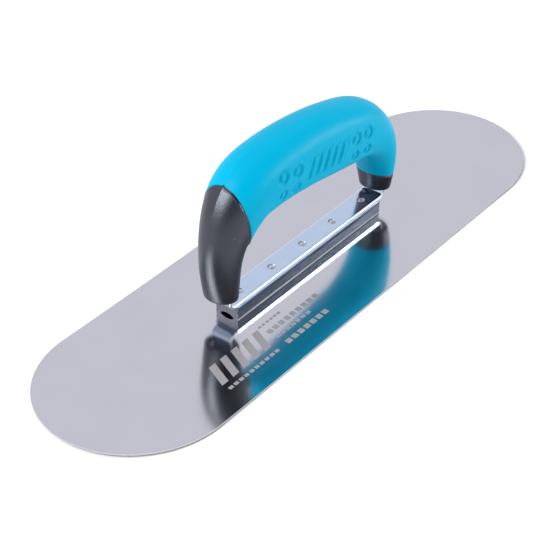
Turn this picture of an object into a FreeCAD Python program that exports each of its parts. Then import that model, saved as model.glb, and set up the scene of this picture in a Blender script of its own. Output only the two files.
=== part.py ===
import FreeCAD, Part
import math
import os

# Steel finishing trowel with rounded blade ends.  Millimetres, +Z up.
# The origin is on the floor under the middle of the blade, X runs along the blade
# and the exposed dark leg of the handle is at the -X end.

# ---- blade: spring stainless sheet, ends turned up a little -------------------------
BLADE_LENGTH = 358.0
BLADE_WIDTH = 100.0
BLADE_THICKNESS = 0.7
BLADE_END_DEPTH = 52.8          # how far each rounded end reaches along X
BLADE_END_RISE = 1.5            # how far the two tips stand off the floor
BLADE_FLAT_PAST_BAR = 2.0       # the sheet stays flat this far past the bar

# ---- mounting bar: grooved aluminium extrusion --------------------------------------
BAR_LENGTH = 122.0
BAR_WIDTH = 14.8
BAR_HEIGHT = 8.0
BAR_EDGE = 0.3                  # small chamfer along the four long edges
BAR_GROOVE_COUNT = 5            # fine grooves along each side
BAR_GROOVE_DEPTH = 0.3
BAR_GROOVE_WIDTH = 0.7
BAR_RELIEF_WIDTH = 9.0          # shallow hollow under the bar, so that it seats on its edges
BAR_RELIEF_DEPTH = 0.9

# ---- bracket: plated steel strap, both ends turned up as tangs ----------------------
STRAP_WIDTH = 13.0
STRAP_THICKNESS = 1.5
STRAP_BEND_INSIDE = 2.5         # inside radius of each bend
STRAP_FLAT_PAST_BAR = 1.0       # the bend starts this far past the bar's end
STRAP_EDGE = 0.55               # rounding of the strap's long edges
STRAP_NICK = 0.6                # size of the small forming nicks in the long edges
STRAP_NICK_FROM_BEND = 7.0
TANG_BELOW_ARCH = 29.0          # each tang stops this far below the arch's middle line
TANG_KEY_HOLE = 5.0             # hole through each tang that the plastic fills

# ---- rivets: flush in the blade's underside and in the strap's top -------------------
RIVET_COUNT = 5
RIVET_PITCH = 26.0
RIVET_ROW_SHIFT = 1.0           # the row sits this far from the middle, towards +X
RIVET_SHANK = 3.2
RIVET_HEAD = 4.6                # head in the blade, countersunk into the sheet
RIVET_MOUTH = 4.4               # countersink round each rivet in the strap's top
RIVET_MOUTH_DEPTH = 0.5
RIVET_END_RISE = 0.15           # how far the closed end stands above the strap

# ---- handle: dark core with a softer sleeve over the arch and the rear leg ----------
GRIP_DEPTH = 37.0               # thickness of the arch, seen from the side
GRIP_WIDTH = 31.0               # thickness of the arch, seen from above
GRIP_SKIN = 3.5                 # wall of the sleeve
ARCH_CENTRE_HEIGHT = 73.0       # highest control point of the arch's middle line
FRONT_FOOT_GAP = 5.8            # front leg's end above the strap
REAR_FOOT_GAP = 4.3             # rear leg's end above the strap
FRONT_FOOT_DEPTH = 15.0
FRONT_FOOT_WIDTH = 19.0
REAR_FOOT_DEPTH = 14.0
REAR_FOOT_WIDTH = 18.0
REAR_COLLAR = 9.6               # height of the dark collar under the rear end of the sleeve
REAR_COLLAR_TILT = 12.0         # degrees that the collar's top leans
FRONT_LINE_TOP = 3.0            # front edge of the sleeve: its top, inwards from the tang
FRONT_LINE_BOTTOM = 12.5        # and its lowest point, inwards from the tang
FRONT_LINE_BULGE = 3.2          # how far that edge bows forwards between the two
SECTION_COUNT = 49
SECTION_POINTS = 24
CROWN_SQUARENESS = 2.15         # 2 is an ellipse, more is squarer
PALM_SQUARENESS = 2.9

# ---- places worked out from the sizes above ------------------------------------------
BAR_BOTTOM = BLADE_THICKNESS
BAR_TOP = BAR_BOTTOM + BAR_HEIGHT
STRAP_TOP = BAR_TOP + STRAP_THICKNESS
BEND_START = BAR_LENGTH / 2 + STRAP_FLAT_PAST_BAR
TANG_INNER = BEND_START + STRAP_BEND_INSIDE
TANG_MIDDLE = TANG_INNER + STRAP_THICKNESS / 2
FRONT_FOOT = STRAP_TOP + FRONT_FOOT_GAP
REAR_FOOT = STRAP_TOP + REAR_FOOT_GAP
TANG_TOP = ARCH_CENTRE_HEIGHT - TANG_BELOW_ARCH


def vec(x, y, z):
    return FreeCAD.Vector(x, y, z)


def arc(a, b, c):
    return Part.Arc(a, b, c).toShape()


def rivet_places():
    first = RIVET_ROW_SHIFT - RIVET_PITCH * (RIVET_COUNT - 1) / 2
    return [first + RIVET_PITCH * i for i in range(RIVET_COUNT)]


# ---- blade ---------------------------------------------------------------------------
def blade_outline():
    """Plan of the blade: two straight sides and two half-ellipse ends."""
    straight = BLADE_LENGTH / 2 - BLADE_END_DEPTH
    half = BLADE_WIDTH / 2
    edges = []
    for side in (1, -1):
        centre = vec(side * straight, 0, 0)
        tip = vec(side * BLADE_LENGTH / 2, 0, 0)
        shoulder = vec(side * straight, half, 0)
        # An ellipse takes its longer radius first.
        if BLADE_END_DEPTH > half:
            ellipse = Part.Ellipse(tip, shoulder, centre)
            start = -90
        else:
            ellipse = Part.Ellipse(shoulder, tip, centre)
            start = 0
        turn = [math.radians(start), math.radians(start + 180)]
        edges.append(Part.ArcOfEllipse(ellipse, turn[0], turn[1]).toShape())
        edges.append(Part.makeLine(vec(-straight, side * half, 0), vec(straight, side * half, 0)))
    return Part.Wire(Part.__sortEdges__(edges))


def blade_side_strip():
    """Side view of the sheet: flat under the bar, each end curving up to its tip."""
    flat = BAR_LENGTH / 2 + BLADE_FLAT_PAST_BAR
    tip = BLADE_LENGTH / 2 + 1
    middle = (flat + tip) / 2
    rise = BLADE_END_RISE
    wires = []
    for level in (0, BLADE_THICKNESS):
        left = arc(vec(-tip, 0, rise + level), vec(-middle, 0, rise / 4 + level), vec(-flat, 0, level))
        right = arc(vec(flat, 0, level), vec(middle, 0, rise / 4 + level), vec(tip, 0, rise + level))
        wires.append([left, Part.makeLine(vec(-flat, 0, level), vec(flat, 0, level)), right])
    ends = []
    for side in (-1, 1):
        ends.append(Part.makeLine(vec(side * tip, 0, rise), vec(side * tip, 0, rise + BLADE_THICKNESS)))
    edges = wires[0] + wires[1] + ends
    return Part.Face(Part.Wire(Part.__sortEdges__(edges)))


def make_blade():
    strip = blade_side_strip()
    strip.translate(vec(0, -BLADE_WIDTH, 0))
    sheet = strip.extrude(vec(0, 2 * BLADE_WIDTH, 0))
    plan = Part.Face(blade_outline())
    plan.translate(vec(0, 0, -1))
    prism = plan.extrude(vec(0, 0, BLADE_END_RISE + BLADE_THICKNESS + 2))
    blade = sheet.common(prism)
    for x in rivet_places():
        blade = blade.cut(rivet_solid(x))
    return blade


# ---- mounting bar ----------------------------------------------------------------------
def bar_profile():
    """Section of the extrusion, with its chamfers, side grooves and hollow underside."""
    half = BAR_WIDTH / 2
    pitch = (BAR_HEIGHT - 2 * BAR_EDGE) / (BAR_GROOVE_COUNT + 0.5)
    side = [(half - BAR_EDGE, BAR_BOTTOM), (half, BAR_BOTTOM + BAR_EDGE)]
    for i in range(BAR_GROOVE_COUNT):
        middle = BAR_BOTTOM + BAR_EDGE + pitch * (i + 0.75)
        side.append((half, middle - BAR_GROOVE_WIDTH / 2))
        side.append((half - BAR_GROOVE_DEPTH, middle))
        side.append((half, middle + BAR_GROOVE_WIDTH / 2))
    side += [(half, BAR_TOP - BAR_EDGE), (half - BAR_EDGE, BAR_TOP)]
    loop = side + [(-y, z) for y, z in reversed(side)]
    points = [vec(-BAR_LENGTH / 2, y, z) for y, z in loop]
    edges = [Part.makeLine(a, b) for a, b in zip(points, points[1:])]
    x = -BAR_LENGTH / 2
    relief = BAR_RELIEF_WIDTH / 2
    edges.append(Part.makeLine(points[-1], vec(x, -relief, BAR_BOTTOM)))
    top = BAR_BOTTOM + BAR_RELIEF_DEPTH
    edges.append(arc(vec(x, -relief, BAR_BOTTOM), vec(x, 0, top), vec(x, relief, BAR_BOTTOM)))
    edges.append(Part.makeLine(vec(x, relief, BAR_BOTTOM), points[0]))
    return Part.Face(Part.Wire(edges))


def make_mounting_bar():
    bar = bar_profile().extrude(vec(BAR_LENGTH, 0, 0))
    for x in rivet_places():
        bar = bar.cut(rivet_solid(x))
    return bar


# ---- handle bracket --------------------------------------------------------------------
def strap_side():
    """Side view of the strap: flat on the bar, with a bend and an upright tang at each end."""
    outside = STRAP_BEND_INSIDE + STRAP_THICKNESS
    lower = strap_line(BAR_TOP, outside)
    upper = strap_line(STRAP_TOP, STRAP_BEND_INSIDE)
    ends = []
    for side in (-1, 1):
        inner = vec(side * TANG_INNER, 0, TANG_TOP)
        outer = vec(side * (TANG_INNER + STRAP_THICKNESS), 0, TANG_TOP)
        ends.append(Part.makeLine(inner, outer))
    return Part.Face(Part.Wire(Part.__sortEdges__(lower + upper + ends)))


def strap_line(level, radius):
    """One face of the strap, from tang top to tang top, seen from the side."""
    diagonal = radius * math.sqrt(0.5)
    edges = [Part.makeLine(vec(-BEND_START, 0, level), vec(BEND_START, 0, level))]
    for side in (-1, 1):
        start = vec(side * BEND_START, 0, level)
        middle = vec(side * (BEND_START + diagonal), 0, level + radius - diagonal)
        end = vec(side * (BEND_START + radius), 0, level + radius)
        edges.append(arc(start, middle, end))
        edges.append(Part.makeLine(end, vec(end.x, 0, TANG_TOP)))
    return edges


def is_long_edge(edge):
    """True for the edges that run along the strap's two sides."""
    middle = edge.valueAt((edge.FirstParameter + edge.LastParameter) / 2)
    return abs(abs(middle.y) - STRAP_WIDTH / 2) < 0.01 and middle.z < TANG_TOP - 0.01


def strap_bar():
    """The bent strap before it is drilled."""
    side = strap_side()
    side.translate(vec(0, -STRAP_WIDTH / 2, 0))
    strap = side.extrude(vec(0, STRAP_WIDTH, 0))
    return strap.makeFillet(STRAP_EDGE, [edge for edge in strap.Edges if is_long_edge(edge)])


def strap_nick(x, side):
    """A three-cornered nick that crosses one long edge."""
    out = STRAP_WIDTH / 2 + STRAP_NICK
    tip = STRAP_WIDTH / 2 - STRAP_NICK
    corners = [(x - STRAP_NICK, side * out), (x, side * tip), (x + STRAP_NICK, side * out)]
    points = [vec(px, py, BAR_TOP - 1) for px, py in corners]
    face = Part.Face(Part.makePolygon(points + points[:1]))
    return face.extrude(vec(0, 0, STRAP_THICKNESS + 2))


def make_handle_bracket():
    strap = strap_bar()
    for x in rivet_places():
        strap = strap.cut(rivet_solid(x))
        mouth_bottom = STRAP_TOP - RIVET_MOUTH_DEPTH
        mouth = Part.makeCone(RIVET_SHANK / 2, RIVET_MOUTH / 2, RIVET_MOUTH_DEPTH, vec(x, 0, mouth_bottom))
        strap = strap.cut(mouth)
    for end in (-1, 1):
        for side in (-1, 1):
            strap = strap.cut(strap_nick(end * (BEND_START - STRAP_NICK_FROM_BEND), side))
        strap = strap.cut(key_hole(end))
    return strap


def key_hole(end):
    """The hole through a tang, where the leg's plastic runs through and locks it."""
    start = vec(end * TANG_MIDDLE - STRAP_THICKNESS, 0, TANG_TOP - TANG_KEY_HOLE * 1.5)
    return Part.makeCylinder(TANG_KEY_HOLE / 2, 2 * STRAP_THICKNESS, start, vec(1, 0, 0))


# ---- rivets ------------------------------------------------------------------------------
def rivet_solid(x):
    """One rivet: countersunk head in the blade, straight shank, end closed a little proud."""
    shank = RIVET_SHANK / 2
    head = Part.makeCone(RIVET_HEAD / 2, shank, BLADE_THICKNESS, vec(x, 0, 0))
    body = Part.makeCylinder(shank, STRAP_TOP - BLADE_THICKNESS, vec(x, 0, BLADE_THICKNESS))
    end = Part.makeCone(shank, shank - RIVET_END_RISE, RIVET_END_RISE, vec(x, 0, STRAP_TOP))
    return head.fuse([body, end])


# ---- handle --------------------------------------------------------------------------------
def handle_stations():
    """Control points of the handle from the front foot over the arch to the rear foot.

    Each holds where the section's middle lies in X and Z, its half depth and its half width.
    """
    deep = GRIP_DEPTH / 2
    wide = GRIP_WIDTH / 2
    front_rise = ARCH_CENTRE_HEIGHT - FRONT_FOOT
    rear_rise = ARCH_CENTRE_HEIGHT - REAR_FOOT
    front = -TANG_MIDDLE
    rear = TANG_MIDDLE
    return [
        (front, FRONT_FOOT, FRONT_FOOT_DEPTH / 2, FRONT_FOOT_WIDTH / 2),
        (front - 1.0, FRONT_FOOT + front_rise / 3, deep - 7.0, wide - 5.5),
        (front + 3.0, FRONT_FOOT + front_rise * 0.62, deep - 4.5, wide - 3.5),
        (front + 11.5, ARCH_CENTRE_HEIGHT - 7.0, deep - 3.0, wide - 0.5),
        (front + 23.5, ARCH_CENTRE_HEIGHT, deep - 1.5, wide + 0.5),
        (-1.5, ARCH_CENTRE_HEIGHT - 2.0, deep, wide),
        (rear - 38.0, ARCH_CENTRE_HEIGHT - 8.0, deep - 0.5, wide),
        (rear - 14.0, ARCH_CENTRE_HEIGHT - 12.0, deep - 3.5, wide),
        (rear + 1.5, REAR_FOOT + rear_rise * 0.41, deep - 8.0, wide - 2.0),
        (rear + 0.5, REAR_FOOT, REAR_FOOT_DEPTH / 2, REAR_FOOT_WIDTH / 2),
    ]


def clamped_spline(poles):
    """A cubic B-spline that starts and ends on its first and last control points."""
    spline = Part.BSplineCurve()
    spline.buildFromPoles(poles, False, 3)
    return spline


def smooth_step(value):
    value = min(max(value, 0.0), 1.0)
    return value * value * (3 - 2 * value)


def signed_power(value, power):
    return math.copysign(abs(value) ** power, value)


def handle_section(middle_line, size_line, place, skin):
    """Closed section wire at one place along the handle, drawn inwards by the skin."""
    centre = middle_line.value(place)
    along = middle_line.tangent(place)[0]
    outwards = vec(-along.z, 0, along.x)
    size = size_line.value(place)
    arch = smooth_step((place - 0.05) / 0.25) * smooth_step((0.95 - place) / 0.2)
    step = 2 * math.pi / SECTION_POINTS
    # A cubic B-spline runs a little inside its control points, so these stand out by that much.
    stand_out = 3 / (2 + math.cos(step))
    points = []
    for i in range(SECTION_POINTS):
        squareness = CROWN_SQUARENESS if math.cos(step * i) >= 0 else PALM_SQUARENESS
        power = 2 / (2 + (squareness - 2) * arch)
        up = signed_power(math.cos(step * i), power) * (size.x - skin) * stand_out
        across = signed_power(math.sin(step * i), power) * (size.y - skin) * stand_out
        points.append(centre + outwards * up + vec(0, across, 0))
    section = Part.BSplineCurve()
    section.buildFromPoles(points, True, 3)
    return Part.Wire(section.toShape())


def handle_form(skin):
    """Solid of the whole handle, its surface set in by the skin."""
    stations = handle_stations()
    middle_line = clamped_spline([vec(x, 0, z) for x, z, depth, width in stations])
    size_line = clamped_spline([vec(depth, width, 0) for x, z, depth, width in stations])
    spacing = middle_line.length() / (SECTION_COUNT - 1)
    wires = []
    for i in range(SECTION_COUNT):
        place = middle_line.parameterAtDistance(spacing * i, middle_line.FirstParameter)
        wires.append(handle_section(middle_line, size_line, place, skin))
    return Part.makeLoft(wires, True, False)


def sleeve_zone():
    """The space that the sleeve may fill: behind its front edge and above the rear collar."""
    reach = GRIP_WIDTH
    high = ARCH_CENTRE_HEIGHT + GRIP_DEPTH
    low = REAR_FOOT
    top_x = -TANG_MIDDLE + FRONT_LINE_TOP
    bottom_x = -TANG_MIDDLE + FRONT_LINE_BOTTOM
    middle_x = (top_x + bottom_x) / 2 - FRONT_LINE_BULGE
    bottom_z = FRONT_FOOT + (ARCH_CENTRE_HEIGHT - FRONT_FOOT) / 2
    top_z = ARCH_CENTRE_HEIGHT + GRIP_DEPTH / 2
    rear_x = TANG_MIDDLE + GRIP_DEPTH
    collar_z = REAR_FOOT + REAR_COLLAR
    fall = math.tan(math.radians(REAR_COLLAR_TILT))
    inner_x = 0.0
    corners = [
        vec(top_x, -reach, top_z),
        vec(top_x, -reach, high),
        vec(rear_x, -reach, high),
        vec(rear_x, -reach, collar_z - fall * (rear_x - TANG_MIDDLE)),
        vec(inner_x, -reach, collar_z - fall * (inner_x - TANG_MIDDLE)),
        vec(bottom_x, -reach, bottom_z),
    ]
    edges = [Part.makeLine(a, b) for a, b in zip(corners, corners[1:])]
    edges.append(arc(corners[-1], vec(middle_x, -reach, (bottom_z + top_z) / 2), corners[0]))
    return Part.Face(Part.Wire(edges)).extrude(vec(0, 2 * reach, 0))


def make_handle():
    """Splits the handle into its dark core and the sleeve moulded over it."""
    outside = handle_form(0)
    inside = handle_form(GRIP_SKIN)
    sleeve = outside.common(sleeve_zone()).cut(inside)
    core = outside.cut(sleeve)
    tangs = strap_bar()
    for end in (-1, 1):
        tangs = tangs.cut(key_hole(end))
    return core.cut(tangs), sleeve


def main():
    os.makedirs("parts", exist_ok=True)
    core, sleeve = make_handle()
    parts = {
        "blade": make_blade(),
        "mounting_bar": make_mounting_bar(),
        "handle_bracket": make_handle_bracket(),
        "handle_core": core,
        "grip_sleeve": sleeve,
    }
    for number, x in enumerate(rivet_places(), 1):
        parts[f"rivet_{number}"] = rivet_solid(x)
    for name, shape in parts.items():
        solid = shape.removeSplitter()
        print(name, len(solid.Solids), "solid", round(solid.Volume / 1000, 2), "cm3", solid.isValid())
        solid.exportStep(f"parts/{name}.step")


main()
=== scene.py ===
import math

import bpy
import numpy as np
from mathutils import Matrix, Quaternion, Vector


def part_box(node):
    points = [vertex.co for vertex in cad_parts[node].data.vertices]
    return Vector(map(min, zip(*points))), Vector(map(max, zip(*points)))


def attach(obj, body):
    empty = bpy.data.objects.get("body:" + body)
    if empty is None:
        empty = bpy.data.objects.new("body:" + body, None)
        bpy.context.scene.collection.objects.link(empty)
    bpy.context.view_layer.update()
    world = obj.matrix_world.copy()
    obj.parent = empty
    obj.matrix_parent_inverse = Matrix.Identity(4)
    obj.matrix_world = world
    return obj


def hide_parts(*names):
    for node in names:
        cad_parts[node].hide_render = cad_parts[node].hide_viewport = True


# Round-ended steel finishing trowel.  Metres in the file, millimetres in the sizes.
# The blade lies on the floor along X, the black leg of the handle stands at -X.
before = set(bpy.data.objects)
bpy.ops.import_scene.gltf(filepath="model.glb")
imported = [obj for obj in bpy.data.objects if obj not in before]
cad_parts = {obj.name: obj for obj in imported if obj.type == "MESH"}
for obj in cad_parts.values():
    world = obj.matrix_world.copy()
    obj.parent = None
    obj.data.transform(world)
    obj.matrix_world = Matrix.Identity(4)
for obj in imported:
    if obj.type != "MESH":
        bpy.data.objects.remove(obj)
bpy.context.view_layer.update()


# ---- blade ---------------------------------------------------------------------------
# One thin sheet of stainless steel, ground and polished to a soft mirror, with round ends.
# It is riveted up to the bar. Everything above it shows in it, blurred a little by the polish.
MM = 0.001
POLISH_LINE = 1.2               # real lines are 0.02 mm apart, drawn this coarse to show
POLISH_CLOUD = 35.0             # patches left by the polishing wheel


def linear(text):
    """sRGB hex to a linear colour."""
    parts = [int(text[i:i + 2], 16) / 255 for i in (1, 3, 5)]
    return [p / 12.92 if p <= 0.04045 else ((p + 0.055) / 1.055) ** 2.4 for p in parts] + [1.0]


def add(tree, kind, inputs=(), **settings):
    """Adds a node: settings are its properties, inputs are values or other nodes by name or place."""
    node = tree.nodes.new(kind)
    for name, value in settings.items():
        setattr(node, name, value)
    for key, value in inputs.items() if isinstance(inputs, dict) else enumerate(inputs):
        if isinstance(value, bpy.types.Node):
            value = value.outputs[0]
        if isinstance(value, bpy.types.NodeSocket):
            tree.links.new(value, node.inputs[key])
        elif value is not None:
            node.inputs[key].default_value = value
    return node


def finish_of(name, **shader):
    """A new material with its shader's constant values set; returns it, its tree and the shader."""
    made = bpy.data.materials.new(name)
    made.use_nodes = True
    tree = made.node_tree
    shader_node = tree.nodes["Principled BSDF"]
    for key, value in shader.items():
        shader_node.inputs[key.replace("_", " ")].default_value = value
    return made, tree, shader_node


def dress(node, material):
    """Gives a CAD node its finish."""
    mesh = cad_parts[node].data
    mesh.materials.clear()
    mesh.materials.append(material)


def polished_stainless():
    """Polished stainless sheet: a soft mirror with faint lines along the blade and light rubbing."""
    made, tree, shader = finish_of("polished_stainless", Metallic=1.0)
    where = add(tree, "ShaderNodeTexCoord").outputs["Object"]
    clouds = add(
        tree, "ShaderNodeTexNoise", {"Vector": where, "Scale": 1 / (POLISH_CLOUD * MM), "Detail": 3.0}
    )
    colour = add(
        tree, "ShaderNodeMix", {0: clouds, 6: linear("#C5C5C9"), 7: linear("#CDCDD0")}, data_type="RGBA"
    )
    tree.links.new(colour.outputs[2], shader.inputs["Base Color"])
    rough = add(tree, "ShaderNodeMapRange", [clouds, 0.3, 0.7, 0.10, 0.135])
    tree.links.new(rough.outputs[0], shader.inputs["Roughness"])
    along = add(tree, "ShaderNodeMapping", {"Vector": where, "Scale": (0.03, 1, 1)})
    lines = add(tree, "ShaderNodeTexNoise", {"Vector": along, "Scale": 1 / (POLISH_LINE * MM), "Detail": 3.0})
    bump = add(tree, "ShaderNodeBump", {"Strength": 0.02, "Distance": 0.1 * MM, "Height": lines})
    tree.links.new(bump.outputs[0], shader.inputs["Normal"])
    return made


dress("blade", polished_stainless())


# ---- etched mark on the blade ------------------------------------------------------------
# Plain stripes and rows of dashes, frosted into the polish beside the bar by an etching pad.
# Each dash is a film of frosted surface two hundredths of a millimetre thick.
MARK_FILM = 0.02
FROST_GRAIN = 0.8               # real pits are 0.05 mm across, drawn this coarse to show
ABOVE_BLADE = 20.0              # height that the dashes are set down from
MARK_ROWS = [                   # start, count, pitch, middle across, length, height, slant
    (-103.0, 5, 8.2, -26.0, 4.6, 13.5, 0.45),
    (-60.0, 6, 3.0, -18.9, 2.1, 1.5, 0.0),
    (-60.0, 9, 4.6, -24.8, 3.3, 3.1, 0.0),
    (-60.0, 7, 4.0, -30.2, 2.9, 2.0, 0.0),
    (-60.0, 7, 4.9, -36.5, 3.6, 3.1, 0.0),
    (-104.5, 10, 3.9, -36.8, 2.8, 1.9, 0.0),
]


def node_tree(name, sockets):
    """A geometry tree with a Geometry input and output and these named inputs besides."""
    tree = bpy.data.node_groups.new(name, "GeometryNodeTree")
    tree.interface.new_socket("Geometry", in_out="INPUT", socket_type="NodeSocketGeometry")
    tree.interface.new_socket("Geometry", in_out="OUTPUT", socket_type="NodeSocketGeometry")
    for label, kind in sockets:
        tree.interface.new_socket(label, in_out="INPUT", socket_type=kind)
    return tree, add(tree, "NodeGroupInput"), add(tree, "NodeGroupOutput")


def put(name, data):
    """A new object of that name in the scene."""
    made = bpy.data.objects.new(name, data)
    bpy.context.scene.collection.objects.link(made)
    return made


def grow(name, mesh, tree, values):
    """Runs a geometry tree on a mesh and returns the result as a plain object of that name."""
    source = put(name + "_source", mesh)
    modifier = source.modifiers.new("grow", "NODES")
    modifier.node_group = tree
    for item in tree.interface.items_tree:
        if item.in_out == "INPUT" and item.name in values:
            modifier[item.identifier] = values[item.name]
    depsgraph = bpy.context.evaluated_depsgraph_get()
    plain = bpy.data.meshes.new_from_object(source.evaluated_get(depsgraph))
    source.modifiers.clear()
    bpy.data.objects.remove(source)
    return put(name, plain)


def points_mesh(name, places, **numbers):
    """A mesh of loose points, each carrying the numbers given for it."""
    mesh = bpy.data.meshes.new(name)
    mesh.from_pydata([Vector(p) * MM for p in places], [], [])
    for label, values in numbers.items():
        layer = mesh.attributes.new(label, "FLOAT", "POINT")
        layer.data.foreach_set("value", [float(v) for v in values])
    return mesh


def dash_tree():
    """A thin slab on each point, as long, high and slanted as the point says."""
    sockets = [("Blade", "NodeSocketObject"), ("Film", "NodeSocketFloat"), ("Finish", "NodeSocketMaterial")]
    tree, given, result = node_tree("etched_dashes", sockets)
    says = {}
    for label in ("length", "height", "slant", "row"):
        says[label] = add(tree, "GeometryNodeInputNamedAttribute", {"Name": label}, data_type="FLOAT")
    size = add(tree, "ShaderNodeCombineXYZ", [1.0, 1.0, given.outputs["Film"]])
    slab = add(tree, "GeometryNodeMeshCube", {"Size": size, "Vertices X": 3, "Vertices Y": 3})
    shape = add(tree, "ShaderNodeCombineXYZ", [says["length"], says["height"], 1.0])
    placed = add(tree, "GeometryNodeInstanceOnPoints", {"Points": given, "Instance": slab, "Scale": shape})
    solid = add(tree, "GeometryNodeRealizeInstances", [placed])
    place = add(tree, "ShaderNodeSeparateXYZ", [add(tree, "GeometryNodeInputPosition")])
    off_row = add(tree, "ShaderNodeMath", [place.outputs[1], says["row"]], operation="SUBTRACT")
    lean = add(tree, "ShaderNodeMath", [off_row, says["slant"]], operation="MULTIPLY")
    shift = add(tree, "ShaderNodeCombineXYZ", [lean, 0.0, 0.0])
    leaning = add(tree, "GeometryNodeSetPosition", {"Geometry": solid, "Offset": shift})
    # The blade curves up towards its ends, so each point is set down on it from above.
    blade = add(tree, "GeometryNodeObjectInfo", {"Object": given.outputs["Blade"]}).outputs["Geometry"]
    place = add(tree, "ShaderNodeSeparateXYZ", [add(tree, "GeometryNodeInputPosition")])
    above = add(tree, "ShaderNodeCombineXYZ", [place.outputs[0], place.outputs[1], ABOVE_BLADE * MM])
    cast = add(tree, "GeometryNodeRaycast", {
        "Target Geometry": blade, "Source Position": above,
        "Ray Direction": (0, 0, -1), "Ray Length": 2 * ABOVE_BLADE * MM,
    })
    landed = add(tree, "ShaderNodeSeparateXYZ", [cast.outputs["Hit Position"]])
    lift = add(tree, "ShaderNodeCombineXYZ", [0.0, 0.0, landed.outputs[2]])
    laid = add(tree, "GeometryNodeSetPosition", {"Geometry": leaning, "Offset": lift})
    done = add(tree, "GeometryNodeSetMaterial", {"Geometry": laid, "Material": given.outputs["Finish"]})
    tree.links.new(done.outputs[0], result.inputs[0])
    return tree


def frosted_stainless():
    """Stainless etched to a fine frost: pale, nearly even grey whatever it faces."""
    made, tree, shader = finish_of("frosted_stainless", Metallic=1.0)
    where = add(tree, "ShaderNodeTexCoord").outputs["Object"]
    frost = add(tree, "ShaderNodeTexNoise", {"Vector": where, "Scale": 1 / (FROST_GRAIN * MM), "Detail": 3.0})
    colour = add(
        tree, "ShaderNodeMix", {0: frost, 6: linear("#A8A5A6"), 7: linear("#BDB9B8")}, data_type="RGBA"
    )
    tree.links.new(colour.outputs[2], shader.inputs["Base Color"])
    rough = add(tree, "ShaderNodeMapRange", [frost, 0.3, 0.7, 0.62, 0.80])
    tree.links.new(rough.outputs[0], shader.inputs["Roughness"])
    bump = add(tree, "ShaderNodeBump", {"Strength": 0.3, "Distance": 0.05 * MM, "Height": frost})
    tree.links.new(bump.outputs[0], shader.inputs["Normal"])
    return made


dashes = []
for start, count, pitch, across, length, height, slant in MARK_ROWS:
    for i in range(count):
        dashes.append((start + pitch * (i + 0.5), across, 0.0, length, height, slant))
mark_points = points_mesh(
    "mark_points",
    [d[:3] for d in dashes],
    length=[d[3] * MM for d in dashes],
    height=[d[4] * MM for d in dashes],
    slant=[d[5] for d in dashes],
    row=[d[1] * MM for d in dashes],
)
mark = grow("etched_mark", mark_points, dash_tree(), {
    "Blade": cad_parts["blade"], "Film": 2 * MARK_FILM * MM, "Finish": frosted_stainless(),
})
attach(mark, "root")


# ---- mounting bar ------------------------------------------------------------------------
# Extruded aluminium section, sawn to length: a small foot, a fluted side and a flank that leans
# out to the top. The rivets clamp it between the blade and the strap.
BAR_SIDE = [                    # in from the widest line, and up from the underside
    (0.35, 0.0), (0.28, 0.1), (0.28, 0.4), (0.5, 0.5),
    (0.5, 1.65), (0.57, 1.95), (0.5, 2.25), (0.5, 3.1), (0.57, 3.4), (0.5, 3.7),
    (0.5, 4.55), (0.57, 4.85), (0.5, 5.15), (0.5, 6.3), (0.3, 6.95), (0.08, 7.65),
    (0.0, 7.8), (0.15, 8.0),
]
BAR_HOLLOW = [                  # out from the middle, and up from the underside
    (4.2, 0.0), (4.0, 0.5), (3.4, 0.95), (2.4, 1.35), (1.2, 1.6), (0.0, 1.7),
]
GROOVE_PITCH = 1.45
FIRST_GROOVE = 1.95             # above the underside
FOOT_TOP = 0.5
DIE_LINE = 0.5                  # real drawing lines are 0.05 mm apart, drawn this coarse to show
SAW_LINE = 0.6


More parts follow.
